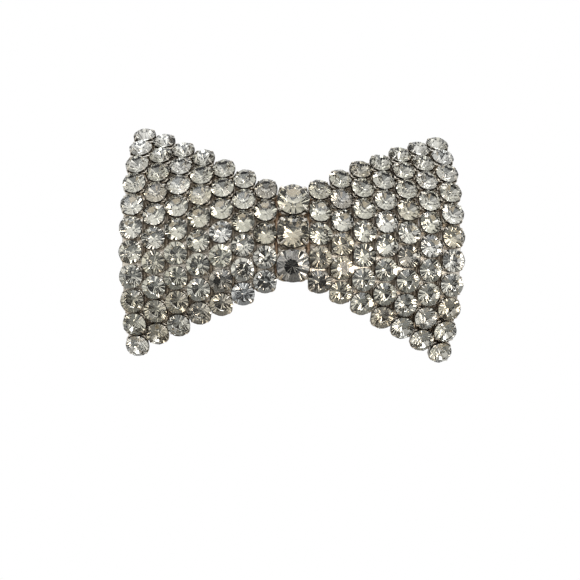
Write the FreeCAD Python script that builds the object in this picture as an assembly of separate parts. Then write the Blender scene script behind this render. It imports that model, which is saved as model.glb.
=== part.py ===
"""Rhinestone bow brooch.

Two wings of stone-set cup chain are bowed over a shared arc, with a knot of three large stones
between them. Wires soldered across the backs of the cups hold the strips together, and a bar with a
hinged pin and a safety catch sits in the hollow behind.

Millimetres. -Y is the face that shows when the brooch is worn, +Y points to the cloth, +Z is up and
+X is the wearer's left. The origin is the middle of the pin stem, where it runs through the cloth.
"""
import math
import os

import FreeCAD
import Part
from FreeCAD import Placement, Rotation, Vector

# ---- The bow -------------------------------------------------------------------------------------
STRIPS_PER_WING = 7
STONES_BY_KNOT = 5  # in the strip next to the knot; each strip further out has one more
CHAIN_PITCH = 4.55  # stone to stone along a strip
STRIP_SPACING = 4.12  # strip to strip across a wing
FIRST_STRIP_X = 5.2
ARC_RADIUS = 30.3  # the arc that every strip is bent to, at the level of the stones' edges
WING_LEAN = 1.5  # the outermost strip stands this far forward of the innermost
INNER_SPLAY = 6.0  # degrees that the innermost strip faces outwards
OUTER_SPLAY = 10.0
# How far each strip slid along its arc before it was soldered, from the knot outwards
LEFT_SLIPS = (-0.20, -0.35, -0.25, 0.20, -0.05, 0.35, -0.10)
RIGHT_SLIPS = (-0.05, 0.25, 0.45, 0.05, 0.25, 0.00, -0.45)

KNOT_STONES = 3
KNOT_PITCH = 6.45
KNOT_FORWARD = 0.95  # the knot's stones stand this far proud of the wings

# ---- A setting: half widths are across the flats, heights are from the stone's edge --------------
CHAIN_SETTING = {
    "stone_half": 1.95,
    "table_half": 1.05,
    "crown": 0.85,
    "pavilion": 1.75,
    "cup_half": 2.0,
    "cup_corner": 2.3,  # centre to a cut corner
    "foot_half": 1.7,
    "rim_below": 0.15,
    "cup_depth": 2.2,
    "claw_tip": 1.45,  # centre to where a claw's tip rests on the crown
}
KNOT_SETTING = {
    "stone_half": 2.88,
    "table_half": 1.6,
    "crown": 1.25,
    "pavilion": 2.6,
    "cup_half": 3.03,
    "cup_corner": 3.45,
    "foot_half": 2.7,
    "rim_below": 0.2,
    "cup_depth": 3.15,
    "claw_tip": 2.15,
}
SEAT_CLEARANCE = 0.05  # the stone's point above the bottom of its seat
CLAW_THICKNESS = 0.3
CLAW_BITE = 0.05  # how far a claw's tip presses into the crown
LINK_WIDTH = 3.9  # the chain is stamped from one ribbon, and its links are wider than a foot
LINK_THICKNESS = 0.35
LINK_ABOVE_FOOT = 0.07
LINK_LAP = 0.3  # how far a link runs into each cup

# ---- The wire frame ------------------------------------------------------------------------------
WIRE_RADIUS = 0.5
WIRE_FLATS = 8
SOLDER_LAP = 0.15  # soldered pieces sink into each other by this much
CROSS_WIRE_ARC = 1.25 * CHAIN_PITCH  # up and down from the middle of the arc
CROSS_WIRE_OVERHANG = 1.0
EDGE_WIRE_KNOT_ARC = 7.6
STAY_X = 14.0
STAY_HALF_HEIGHT = 5.7

# ---- The bar pin ---------------------------------------------------------------------------------
BAR_LENGTH = 38.0
BAR_WIDTH = 5.0
BAR_THICKNESS = 0.8
BAR_ABOVE_MIDDLE = 1.5  # the pin sits above the bow's middle, so that the brooch hangs straight
STEM_RADIUS = 0.45
STEM_STANDOFF = 2.2  # stem axis to the bar's back
STEM_TAPER_X = -12.0
STEM_TIP_X = -18.7
STEM_TIP_RADIUS = 0.08

HINGE_X = 17.0
OPENING_ANGLE = 110.0
RIVET_RADIUS = 0.5
RIVET_HEAD_RADIUS = 0.85
RIVET_HEAD_HEIGHT = 0.3
EYE_RADIUS = 1.25
EYE_HALF_THICKNESS = 0.6
NECK_REACH = 1.6  # from the rivet to where the square neck of the eye ends and the round wire starts
EYE_RUNNING_CLEARANCE = 0.05
HEEL_ANGLE = 45.0
HEEL_HALF_WIDTH = 0.45
HEEL_STOP_GAP = 0.03
EAR_INSIDE = 0.65
EAR_THICKNESS = 0.6
EAR_RADIUS = 1.3
BRACKET_LENGTH = 4.0
BRACKET_WIDTH = 4.4
BRACKET_THICKNESS = 0.5
PLATE_LAP = 0.05

CATCH_X = -15.5
HOOK_WIDTH = 1.6
HOOK_BORE_RADIUS = 1.4
HOOK_RADIUS = 2.05
HOOK_MOUTH = 1.3
HOOK_FOOT_WIDTH = 3.2
COLLAR_BORE_RADIUS = 0.75
COLLAR_RADIUS = 1.35
COLLAR_FLANGE_RADIUS = 1.85
COLLAR_FLANGE_THICKNESS = 0.5
COLLAR_SIDE_GAP = 0.08
COLLAR_SLOT = 1.2
LEVER_REACH = 3.4
LEVER_WIDTH = 1.1
LEVER_ANGLE = 75.0  # from the slot to the lever

X_AXIS = Vector(1, 0, 0)
Y_AXIS = Vector(0, 1, 0)
Z_AXIS = Vector(0, 0, 1)

WIRE_DEPTH = CHAIN_SETTING["cup_depth"] + WIRE_RADIUS - SOLDER_LAP
FACE_Z = -BAR_ABOVE_MIDDLE


def lean_at(x):
    """How far the wings' face stands forward at a distance from the middle."""
    wing_reach = (STRIPS_PER_WING - 1) * STRIP_SPACING
    return WING_LEAN * (abs(x) - FIRST_STRIP_X) / wing_reach


def stack_depth():
    """From the face at the knot back to the pin stem's axis."""
    tilt = CROSS_WIRE_ARC / ARC_RADIUS
    cross_wire = ARC_RADIUS - (ARC_RADIUS - WIRE_DEPTH) * math.cos(tilt) - lean_at(STAY_X)
    stay = cross_wire + 2 * WIRE_RADIUS - SOLDER_LAP
    bar_back = stay + WIRE_RADIUS - SOLDER_LAP + BAR_THICKNESS
    return bar_back + STEM_STANDOFF


FACE_Y = -stack_depth()
BAR_BACK_Y = -STEM_STANDOFF
BAR_FRONT_Y = BAR_BACK_Y - BAR_THICKNESS
STAY_Y = BAR_FRONT_Y - WIRE_RADIUS + SOLDER_LAP


# ---- Places on the bow ---------------------------------------------------------------------------
def bow_place(x, forward, splay, arc, depth=0.0):
    """A place on the bow's arc: local z points straight out of it and local y runs up the strip."""
    level = Rotation(Z_AXIS, splay)
    turn = level * Rotation(X_AXIS, 90 - math.degrees(arc / ARC_RADIUS))
    arc_centre = Vector(x, FACE_Y - forward, FACE_Z) + level.multVec(Y_AXIS) * ARC_RADIUS
    return Placement(arc_centre + turn.multVec(Z_AXIS) * (ARC_RADIUS - depth), turn)


def strip_place(side, strip, arc, depth=0.0):
    """The same for one strip of a wing; side is -1 or 1, and strip counts from 1 at the knot."""
    share = (strip - 1) / (STRIPS_PER_WING - 1)
    x = FIRST_STRIP_X + (strip - 1) * STRIP_SPACING
    splay = INNER_SPLAY + share * (OUTER_SPLAY - INNER_SPLAY)
    return bow_place(side * x, lean_at(x), side * splay, arc, depth)


def knot_place(arc, depth=0.0):
    return bow_place(0, KNOT_FORWARD, 0, arc, depth)


def arcs(count, pitch, slip=0.0):
    """Distances up the arc of a strip's stones, from the lowest to the highest."""
    return [slip + (i - (count - 1) / 2) * pitch for i in range(count)]


def strip_arcs(side, strip):
    slips = LEFT_SLIPS if side < 0 else RIGHT_SLIPS
    return arcs(STONES_BY_KNOT + strip - 1, CHAIN_PITCH, slips[strip - 1])


# ---- Settings ------------------------------------------------------------------------------------
def cut_square(half, corner, height):
    """The corners of a square with its own corners cut off, anticlockwise at one height."""
    cut = corner * math.sqrt(2) - half
    turns = [(half, -cut), (half, cut), (cut, half), (-cut, half)]
    turns += [(-x, -y) for x, y in turns]
    return [Vector(x, y, height) for x, y in turns]


def flat_face(corners):
    return Part.Face(Part.makePolygon(corners + corners[:1]))


def taper(low, high):
    """A flat-sided solid from a low outline up to a high one, or to a point; both run anticlockwise."""
    faces = [flat_face(low[::-1])]
    for i, corner in enumerate(low):
        after = (i + 1) % len(low)
        top = high if len(high) == 1 else [high[after], high[i]]
        faces.append(flat_face([corner, low[after]] + top))
    if len(high) > 1:
        faces.append(flat_face(high))
    return Part.Solid(Part.Shell(faces))


def upside_down(solid):
    return solid.mirror(Vector(0, 0, 0), Z_AXIS)


def make_stone(size):
    """A glass stone with eight crown facets round a table and eight pavilion facets down to a point."""
    half = size["stone_half"]
    table = size["table_half"]
    edge = cut_square(half, half, 0)
    crown = taper(edge, cut_square(table, table, size["crown"]))
    pavilion = upside_down(taper(edge, [Vector(0, 0, size["pavilion"])]))
    return crown.fuse(pavilion)


def make_claw(size):
    """A three-sided claw as wide as a cut corner, from the rim up over the crown, along +X."""
    rim = -size["rim_below"]
    root = size["cup_corner"]
    half_width = math.sqrt(2) * size["cup_half"] - root
    slope = size["crown"] / (size["stone_half"] - size["table_half"])
    tip_height = (size["stone_half"] - size["claw_tip"]) * slope - CLAW_BITE
    corners = [
        Vector(root, -half_width, rim),
        Vector(root, half_width, rim),
        Vector(root - CLAW_THICKNESS, 0, rim),
    ]
    return taper(corners, [Vector(size["claw_tip"], 0, tip_height)])


def make_cup(size):
    """A cup from a square foot to a rim with cut corners, with a pointed seat and four claws."""
    rim = -size["rim_below"]
    top = cut_square(size["cup_half"], size["cup_corner"], rim)
    half = size["foot_half"]
    turns = ((half, -half), (half, half), (-half, half), (-half, -half))
    foot = [Vector(x, y, -size["cup_depth"]) for x, y in turns]
    faces = [flat_face(foot[::-1]), flat_face(top)]
    for side in range(4):
        after = foot[(side + 1) % 4]
        faces.append(flat_face([foot[side], after, top[2 * side + 1], top[2 * side]]))
        faces.append(flat_face([after, top[(2 * side + 2) % 8], top[2 * side + 1]]))
    cup = Part.Solid(Part.Shell(faces))

    point = size["pavilion"] + SEAT_CLEARANCE
    seat_half = size["stone_half"] * (point + rim) / size["pavilion"]
    seat = upside_down(taper(cut_square(seat_half, seat_half, -rim), [Vector(0, 0, point)]))
    claws = []
    for corner in range(4):
        claw = make_claw(size)
        claw.rotate(Vector(0, 0, 0), Z_AXIS, 45 + 90 * corner)
        claws.append(claw)
    return cup.cut(seat).multiFuse(claws)


def make_link(size, pitch):
    """The flat link that joins a cup to the next, built midway between them."""
    low = -size["cup_depth"] + LINK_ABOVE_FOOT
    foot_pitch = pitch * (ARC_RADIUS - size["cup_depth"]) / ARC_RADIUS
    length = foot_pitch - 2 * size["foot_half"] + 2 * LINK_LAP
    return Part.makeBox(LINK_WIDTH, length, LINK_THICKNESS, Vector(-LINK_WIDTH / 2, -length / 2, low))


def placed(shape, place):
    copy = shape.copy()
    copy.Placement = place
    return copy


def make_strip(cup, link, places, link_places):
    """Cups and links of one strip, as one piece of metal."""
    pieces = [placed(cup, p) for p in places] + [placed(link, p) for p in link_places]
    return pieces[0].multiFuse(pieces[1:])


def between(values):
    return [(a + b) / 2 for a, b in zip(values, values[1:])]


# ---- The wire frame ------------------------------------------------------------------------------
def make_wire(points):
    """Wire bent through a row of points; its round section is drawn with eight flats."""
    start = (points[1] - points[0]).normalize()
    lean = Rotation(Z_AXIS, start)
    corner = WIRE_RADIUS / math.cos(math.pi / WIRE_FLATS)
    turns = [2 * math.pi * (i + 0.5) / WIRE_FLATS for i in range(WIRE_FLATS)]
    around = [Vector(corner * math.cos(a), corner * math.sin(a), 0) for a in turns]
    ring = [points[0] + lean.multVec(v) for v in around]
    outline = Part.makePolygon(ring + ring[:1])
    return Part.makePolygon(points).makePipeShell([outline], True, False, 1)


def make_cross_wire(up):
    """Straight behind each wing and bent slightly at the knot; up is 1 for the upper wire."""
    last = STRIPS_PER_WING
    arc = up * CROSS_WIRE_ARC
    left = [strip_place(-1, n, arc, WIRE_DEPTH).Base for n in (last, 1)]
    right = [strip_place(1, n, arc, WIRE_DEPTH).Base for n in (1, last)]
    left[0] += (left[0] - left[1]).normalize() * CROSS_WIRE_OVERHANG
    right[1] += (right[1] - right[0]).normalize() * CROSS_WIRE_OVERHANG
    return make_wire(left + right)


def make_edge_wire(up):
    """Along the end cups of the strips, from one wing's tip past the knot to the other wing's tip."""
    strips = range(1, STRIPS_PER_WING + 1, 2)
    wing = {
        side: [strip_place(side, n, up * strip_arcs_end(n), WIRE_DEPTH).Base for n in strips]
        for side in (-1, 1)
    }
    knot_depth = KNOT_SETTING["cup_depth"] + WIRE_RADIUS - SOLDER_LAP
    knot = knot_place(up * EDGE_WIRE_KNOT_ARC, knot_depth).Base
    return make_wire(wing[-1][::-1] + [knot] + wing[1])


def strip_arcs_end(strip):
    """Distance up the arc to the end cup of a strip that didn't slip."""
    return arcs(STONES_BY_KNOT + strip - 1, CHAIN_PITCH)[-1]


def make_stay(side):
    """An upright wire across the backs of the two cross wires, which carries one end of the bar."""
    x = side * STAY_X
    return make_wire([Vector(x, STAY_Y, FACE_Z + h) for h in (-STAY_HALF_HEIGHT, STAY_HALF_HEIGHT)])


# ---- The bar pin ---------------------------------------------------------------------------------
def upright_cylinder(radius, x, low, high, y=0.0):
    return Part.makeCylinder(radius, high - low, Vector(x, y, low), Z_AXIS)


def sideways_cylinder(radius, x, half_width):
    return Part.makeCylinder(radius, 2 * half_width, Vector(x - half_width, 0, 0), X_AXIS)


def make_bar():
    """The flat bar with rounded ends that the hinge and the catch stand on."""
    straight = BAR_LENGTH - BAR_WIDTH
    corner = Vector(-straight / 2, BAR_FRONT_Y, -BAR_WIDTH / 2)
    bar = Part.makeBox(straight, BAR_THICKNESS, BAR_WIDTH, corner)
    middles = [Vector(side * straight / 2, BAR_FRONT_Y, 0) for side in (-1, 1)]
    ends = [Part.makeCylinder(BAR_WIDTH / 2, BAR_THICKNESS, m, Y_AXIS) for m in middles]
    return bar.multiFuse(ends).removeSplitter()


def make_hinge_bracket():
    """A small plate with two ears that the hinge rivet passes through."""
    base = Part.makeBox(
        BRACKET_LENGTH,
        BRACKET_THICKNESS,
        BRACKET_WIDTH,
        Vector(HINGE_X - BRACKET_LENGTH / 2, BAR_BACK_Y - PLATE_LAP, -BRACKET_WIDTH / 2),
    )
    ears = []
    for low in (EAR_INSIDE, -EAR_INSIDE - EAR_THICKNESS):
        corner = Vector(HINGE_X - EAR_RADIUS, BAR_BACK_Y, low)
        ears.append(Part.makeBox(2 * EAR_RADIUS, STEM_STANDOFF, EAR_THICKNESS, corner))
        ears.append(upright_cylinder(EAR_RADIUS, HINGE_X, low, low + EAR_THICKNESS))
    reach = EAR_INSIDE + EAR_THICKNESS
    hole = upright_cylinder(RIVET_RADIUS, HINGE_X, -reach, reach)
    return base.multiFuse(ears).cut(hole).removeSplitter()


def make_rivet():
    """The hinge rivet, headed over outside both ears."""
    reach = EAR_INSIDE + EAR_THICKNESS
    shank = upright_cylinder(RIVET_RADIUS, HINGE_X, -reach, reach)
    top = upright_cylinder(RIVET_HEAD_RADIUS, HINGE_X, reach, reach + RIVET_HEAD_HEIGHT)
    bottom = upright_cylinder(RIVET_HEAD_RADIUS, HINGE_X, -reach - RIVET_HEAD_HEIGHT, -reach)
    return shank.multiFuse([top, bottom]).removeSplitter()


def make_heel():
    """The lug behind the stem's eye. It meets the bracket's plate when the pin is fully open."""
    final_angle = math.radians(OPENING_ANGLE - HEEL_ANGLE)
    room = STEM_STANDOFF - BRACKET_THICKNESS + PLATE_LAP - HEEL_STOP_GAP
    reach = (room - HEEL_HALF_WIDTH * math.cos(final_angle)) / math.sin(final_angle)
    thickness = 2 * EYE_HALF_THICKNESS
    corner = Vector(0, -HEEL_HALF_WIDTH, -EYE_HALF_THICKNESS)
    lug = Part.makeBox(reach, 2 * HEEL_HALF_WIDTH, thickness, corner)
    lug.rotate(Vector(0, 0, 0), Z_AXIS, HEEL_ANGLE)
    lug.translate(Vector(HINGE_X, 0, 0))
    return lug


def make_stem():
    """The steel pin: an eye and heel at the hinge, then a round wire that tapers to a sharp point."""
    eye = upright_cylinder(EYE_RADIUS, HINGE_X, -EYE_HALF_THICKNESS, EYE_HALF_THICKNESS)
    neck_width = 2 * EYE_HALF_THICKNESS
    root_x = HINGE_X - NECK_REACH
    neck_corner = Vector(root_x, -EYE_HALF_THICKNESS, -EYE_HALF_THICKNESS)
    neck = Part.makeBox(NECK_REACH, neck_width, neck_width, neck_corner)
    taper_start = Vector(STEM_TAPER_X, 0, 0)
    wire = Part.makeCylinder(STEM_RADIUS, root_x - STEM_TAPER_X, taper_start, X_AXIS)
    point_length = STEM_TAPER_X - STEM_TIP_X
    point = Part.makeCone(STEM_RADIUS, STEM_TIP_RADIUS, point_length, taper_start, -X_AXIS)
    stem = eye.multiFuse([neck, make_heel(), wire, point])
    hole_radius = RIVET_RADIUS + EYE_RUNNING_CLEARANCE
    hole = upright_cylinder(hole_radius, HINGE_X, -2 * EYE_HALF_THICKNESS, 2 * EYE_HALF_THICKNESS)
    return stem.cut(hole).removeSplitter()


def make_hook():
    """The fixed half of the catch: a ring on a foot, open towards the cloth for the stem."""
    ring = sideways_cylinder(HOOK_RADIUS, CATCH_X, HOOK_WIDTH / 2)
    foot = Part.makeBox(
        HOOK_WIDTH,
        STEM_STANDOFF + PLATE_LAP,
        HOOK_FOOT_WIDTH,
        Vector(CATCH_X - HOOK_WIDTH / 2, BAR_BACK_Y - PLATE_LAP, -HOOK_FOOT_WIDTH / 2),
    )
    bore = sideways_cylinder(HOOK_BORE_RADIUS, CATCH_X, HOOK_WIDTH)
    mouth = Part.makeBox(
        2 * HOOK_WIDTH, 2 * HOOK_RADIUS, HOOK_MOUTH, Vector(CATCH_X - HOOK_WIDTH, 0, -HOOK_MOUTH / 2)
    )
    return ring.fuse(foot).cut(bore).cut(mouth).removeSplitter()


def make_collar():
    """The turning half of the catch: a slotted barrel with a flange each side and a lever."""
    inner = HOOK_WIDTH / 2 + COLLAR_SIDE_GAP
    outer = inner + COLLAR_FLANGE_THICKNESS
    barrel = sideways_cylinder(COLLAR_RADIUS, CATCH_X, outer)
    flanges = [
        Part.makeCylinder(COLLAR_FLANGE_RADIUS, COLLAR_FLANGE_THICKNESS, Vector(x, 0, 0), X_AXIS)
        for x in (CATCH_X - outer, CATCH_X + inner)
    ]
    lever = Part.makeBox(
        COLLAR_FLANGE_THICKNESS, LEVER_REACH, LEVER_WIDTH, Vector(CATCH_X - outer, 0, -LEVER_WIDTH / 2)
    )
    lever.rotate(Vector(0, 0, 0), X_AXIS, -LEVER_ANGLE)
    bore = sideways_cylinder(COLLAR_BORE_RADIUS, CATCH_X, 2 * outer)
    slot_corner = Vector(CATCH_X - 2 * outer, 0, -COLLAR_SLOT / 2)
    slot = Part.makeBox(4 * outer, 2 * HOOK_RADIUS, COLLAR_SLOT, slot_corner)
    return barrel.multiFuse(flanges + [lever]).cut(bore).cut(slot).removeSplitter()


# ---- Every piece, by the name of its file --------------------------------------------------------
def make_parts():
    cup = make_cup(CHAIN_SETTING)
    link = make_link(CHAIN_SETTING, CHAIN_PITCH)
    stone = make_stone(CHAIN_SETTING)
    parts = {}
    for side, wing in ((-1, "left"), (1, "right")):
        for strip in range(1, STRIPS_PER_WING + 1):
            seats = strip_arcs(side, strip)
            places = [strip_place(side, strip, a) for a in seats]
            links = [strip_place(side, strip, a) for a in between(seats)]
            parts[f"{wing}_cup_strip_{strip}"] = make_strip(cup, link, places, links)
            parts[f"{wing}_stones_{strip}"] = Part.makeCompound([placed(stone, p) for p in places])

    seats = arcs(KNOT_STONES, KNOT_PITCH)
    places = [knot_place(a) for a in seats]
    links = [knot_place(a) for a in between(seats)]
    knot_link = make_link(KNOT_SETTING, KNOT_PITCH)
    parts["knot_cup_strip"] = make_strip(make_cup(KNOT_SETTING), knot_link, places, links)
    knot_stone = make_stone(KNOT_SETTING)
    parts["knot_stones"] = Part.makeCompound([placed(knot_stone, p) for p in places])

    for up, level in ((1, "upper"), (-1, "lower")):
        parts[f"{level}_cross_wire"] = make_cross_wire(up)
        parts[f"{level}_edge_wire"] = make_edge_wire(up)
    parts["left_stay"] = make_stay(-1)
    parts["right_stay"] = make_stay(1)
    parts["pin_bar"] = make_bar()
    parts["hinge_bracket"] = make_hinge_bracket()
    parts["hinge_rivet"] = make_rivet()
    parts["pin_stem"] = make_stem()
    parts["catch_hook"] = make_hook()
    parts["safety_collar"] = make_collar()
    return parts


os.makedirs("parts", exist_ok=True)
for name, shape in make_parts().items():
    shape.exportStep(f"parts/{name}.step")
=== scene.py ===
import math
import random

import bpy
from mathutils import Matrix, Vector


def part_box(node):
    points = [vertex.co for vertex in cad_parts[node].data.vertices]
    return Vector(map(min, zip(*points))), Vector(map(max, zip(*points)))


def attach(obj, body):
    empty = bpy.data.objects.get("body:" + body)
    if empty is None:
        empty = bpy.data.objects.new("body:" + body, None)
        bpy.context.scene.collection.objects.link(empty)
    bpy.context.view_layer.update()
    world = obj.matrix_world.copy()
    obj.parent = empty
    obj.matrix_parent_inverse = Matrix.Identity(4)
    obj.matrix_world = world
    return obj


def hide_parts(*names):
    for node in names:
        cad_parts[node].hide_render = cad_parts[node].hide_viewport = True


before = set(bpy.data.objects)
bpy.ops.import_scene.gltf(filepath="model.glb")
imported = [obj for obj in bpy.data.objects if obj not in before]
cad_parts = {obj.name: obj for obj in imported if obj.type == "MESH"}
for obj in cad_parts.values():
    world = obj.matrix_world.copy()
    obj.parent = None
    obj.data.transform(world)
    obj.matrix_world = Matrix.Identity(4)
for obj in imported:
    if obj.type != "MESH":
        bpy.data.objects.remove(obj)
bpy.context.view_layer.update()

# ---------------------------------------------------------------------------
# The camera: it stands a hand's length in front of the brooch, a little below
# it and left of it, and looks up at the bow as at someone's lapel.
# ---------------------------------------------------------------------------
mm = 0.001
CAMERA_DISTANCE = 220 * mm
CAMERA_AIM = Vector((-0.47 * mm, -6.70 * mm, -12.43 * mm))
CAMERA_SWING = math.radians(3.16)
CAMERA_RISE = math.radians(12.4)
CAMERA_ROLL = math.radians(0.48)
CAMERA_LENS = 74.3

look = Vector((
    math.sin(CAMERA_SWING) * math.cos(CAMERA_RISE),
    math.cos(CAMERA_SWING) * math.cos(CAMERA_RISE),
    math.sin(CAMERA_RISE),
))
camera_place = CAMERA_AIM - look * CAMERA_DISTANCE
camera = bpy.data.objects.new("camera", bpy.data.cameras.new("camera"))
camera.data.lens = CAMERA_LENS
camera.data.sensor_width = 36
camera.data.clip_start = 1 * mm
camera.data.clip_end = 20
right = look.cross(Vector((0, 0, 1))).normalized()
up = right.cross(look)
turn = Matrix((right, up, -look)).transposed().to_4x4()
camera.matrix_world = Matrix.Translation(camera_place) @ turn @ Matrix.Rotation(CAMERA_ROLL, 4, "Z")
bpy.context.scene.collection.objects.link(camera)
bpy.context.scene.camera = camera
bpy.context.scene.view_settings.view_transform = "Standard"

# ---------------------------------------------------------------------------
# The studio: a pale floor well under the brooch, white surroundings, a broad
# lamp overhead and weaker ones at the sides and below. Grey flats and dark
# cards all round give the crystal and the metal something to reflect.
# ---------------------------------------------------------------------------
FLOOR_LEVEL = -0.12
FLOOR_SIZE = 3.0
FLOOR_COLOUR = (0.86, 0.86, 0.85)
SURROUND_LIGHT = 0.50
LAMPS = (
    # name, from where, size across, size up, watts, colour
    ("overhead_lamp", (-0.10, -0.25, 0.55), 0.90, 0.70, 4.1, (0.93, 0.97, 1.0)),
    ("left_lamp", (-0.55, -0.30, 0.12), 0.25, 0.35, 1.6, (1.0, 0.97, 0.92)),
    ("right_lamp", (0.50, -0.40, 0.20), 0.16, 0.30, 1.1, (1.0, 0.98, 0.95)),
    ("low_lamp", (0.05, -0.45, -0.11), 0.30, 0.10, 0.5, (1.0, 0.90, 0.78)),
)
LOW_CARDS = (
    # name, left, right, front, back, height, colour
    ("slate_card", -0.30, 0.30, -0.32, -0.075, -0.105, (0.13, 0.135, 0.14)),
    ("brown_card", -0.20, 0.20, -0.075, 0.10, -0.104, (0.33, 0.28, 0.21)),
)
CAMERA_CARD = (0.047, 0.067)
CAMERA_CARD_SETBACK = 0.01
CAMERA_CARD_COLOUR = (0.02, 0.02, 0.022)
PANEL_RADIUS = 0.62
PANELS = (
    # name, from azimuth, to azimuth, from rise, to rise, grey
    ("left_flat", 18, 100, -10, 16, 0.58),
    ("front_flat", -16, 18, -10, 16, 0.82),
    ("right_flat", -100, -16, -10, 16, 0.66),
    ("upper_left_flat", 30, 100, 16, 50, 0.38),
    ("upper_right_flat", -100, -34, 16, 50, 0.32),
    ("top_flat", -100, 100, 50, 72, 0.66),
    ("back_low_flat", 125, 235, -40, -8, 0.22),
    ("back_middle_flat", 150, 215, 2, 16, 0.30),
    ("back_high_flat", 120, 240, 28, 44, 0.36),
)
PANEL_STEP = 12


class Finish:
    """A procedural material as it is wired up; its patterns lie on the piece's own coordinates."""

    def __init__(self, name):
        self.material = bpy.data.materials.new(name)
        self.material.use_nodes = True
        self.tree = self.material.node_tree
        self.shader = self.tree.nodes["Principled BSDF"]
        self.place = self.node("ShaderNodeTexCoord", {}).outputs["Object"]

    def feed(self, node, sockets):
        """Give each socket a number, a colour or a link from another node."""
        for socket, value in sockets.items():
            if isinstance(value, bpy.types.NodeSocket):
                self.tree.links.new(value, node.inputs[socket])
            else:
                node.inputs[socket].default_value = value

    def node(self, kind, sockets, **settings):
        made = self.tree.nodes.new(kind)
        for setting, value in settings.items():
            setattr(made, setting, value)
        self.feed(made, sockets)
        return made

    def noise(self, scale, detail=2.0):
        pattern = self.node("ShaderNodeTexNoise", {"Vector": self.place, "Scale": scale, "Detail": detail})
        return pattern.outputs["Fac"]

    def shade(self, label):
        """A number that each point of the piece carries."""
        return self.node("ShaderNodeAttribute", {}, attribute_name=label).outputs["Fac"]

    def mixed(self, share, first, second):
        """A colour between two, each an RGB triple or a link."""
        first, second = [(*c, 1) if isinstance(c, tuple) else c for c in (first, second)]
        blend = self.node("ShaderNodeMix", {}, data_type="RGBA")
        self.feed(blend, {"Factor": share, "A": first, "B": second})
        return blend.outputs["Result"]

    def scaled(self, value, factor, added, clamp=False):
        sockets = {0: value, 1: factor, 2: added}
        sum_node = self.node("ShaderNodeMath", sockets, operation="MULTIPLY_ADD", use_clamp=clamp)
        return sum_node.outputs["Value"]

    def mapped(self, value, low, high, to_low=0.0, to_high=1.0, curve="LINEAR"):
        sockets = {"Value": value, "From Min": low, "From Max": high, "To Min": to_low, "To Max": to_high}
        return self.node("ShaderNodeMapRange", sockets, interpolation_type=curve).outputs["Result"]

    def raised(self, height, strength, distance):
        """Bump the surface by a pattern."""
        bump = self.node("ShaderNodeBump", {"Height": height, "Strength": strength, "Distance": distance})
        self.feed(self.shader, {"Normal": bump.outputs["Normal"]})


def plain_finish(name, colour, glow=0.0):
    """A matt paper whose colour drifts a little, for floor and cards; glow is for lit flats."""
    paper = Finish(name)
    darker = tuple(c * 0.97 for c in colour)
    paper.feed(paper.shader, {
        "Roughness": 0.8,
        "Base Color": paper.mixed(paper.noise(6), darker, colour),
        "Emission Color": (glow, glow, glow, 1),
        "Emission Strength": 1 if glow else 0,
    })
    return paper.material


def mesh_piece(name, points, faces, finishes, smooth=True):
    """A new mesh object in the scene, with its finishes in order."""
    mesh = bpy.data.meshes.new(name)
    mesh.from_pydata([tuple(p) for p in points], [], faces)
    for finish in finishes:
        mesh.materials.append(finish)
    mesh.polygons.foreach_set("use_smooth", [smooth] * len(mesh.polygons))
    mesh.update()
    piece = bpy.data.objects.new(name, mesh)
    bpy.context.scene.collection.objects.link(piece)
    return piece


def level_corners(left, right, front, back, height):
    """Corners of a level rectangle, seen from above."""
    return [(left, front, height), (right, front, height), (right, back, height), (left, back, height)]


half = FLOOR_SIZE / 2
floor_paper = plain_finish("floor_paper", FLOOR_COLOUR)
floor_corners = level_corners(-half, half, -half, half, FLOOR_LEVEL)
floor = mesh_piece("floor", floor_corners, [(0, 1, 2, 3)], [floor_paper])


def studio_card(name, corners, faces, colour, glow=0.0):
    """A card that only reflections show; it stays out of the picture and off the light."""
    card = mesh_piece(name, corners, faces, [plain_finish(name + "_paper", colour, glow)])
    card.visible_camera = False
    card.visible_diffuse = False
    card.visible_shadow = False


def toward(azimuth, rise, distance):
    """A point seen from the brooch; azimuth 0 is straight out of its face."""
    a, e = math.radians(azimuth), math.radians(rise)
    return Vector((-math.sin(a) * math.cos(e), -math.cos(a) * math.cos(e), math.sin(e))) * distance


centre = camera_place - look * CAMERA_CARD_SETBACK
across, rise = right * CAMERA_CARD[0], up * CAMERA_CARD[1]
corners = [centre - across - rise, centre + across - rise, centre + across + rise, centre - across + rise]
studio_card("camera_card", corners, [(0, 1, 2, 3)], CAMERA_CARD_COLOUR)
for name, card_left, card_right, front, back, height, colour in LOW_CARDS:
    corners = level_corners(card_left, card_right, front, back, height)
    studio_card(name, corners, [(0, 1, 2, 3)], colour)

for name, start, end, low, high, grey in PANELS:
    steps = max(1, round((end - start) / PANEL_STEP))
    turns = [start + (end - start) * k / steps for k in range(steps + 1)]
    corners = [toward(a, low, PANEL_RADIUS) for a in turns] + [toward(a, high, PANEL_RADIUS) for a in turns]
    faces = [(k, k + 1, steps + 2 + k, steps + 1 + k) for k in range(steps)]
    studio_card(name, corners, faces, (0, 0, 0), grey)

for name, middle, across, rise, watts, colour in LAMPS:
    lamp = bpy.data.lights.new(name, "AREA")
    lamp.shape = "RECTANGLE"
    lamp.size = across
    lamp.size_y = rise
    lamp.energy = watts
    lamp.color = colour
    lamp_stand = bpy.data.objects.new(name, lamp)
    lamp_stand.location = middle
    lamp_stand.rotation_euler = (Vector((0, 0, 0)) - Vector(middle)).to_track_quat("-Z", "Y").to_euler()
    bpy.context.scene.collection.objects.link(lamp_stand)

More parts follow.
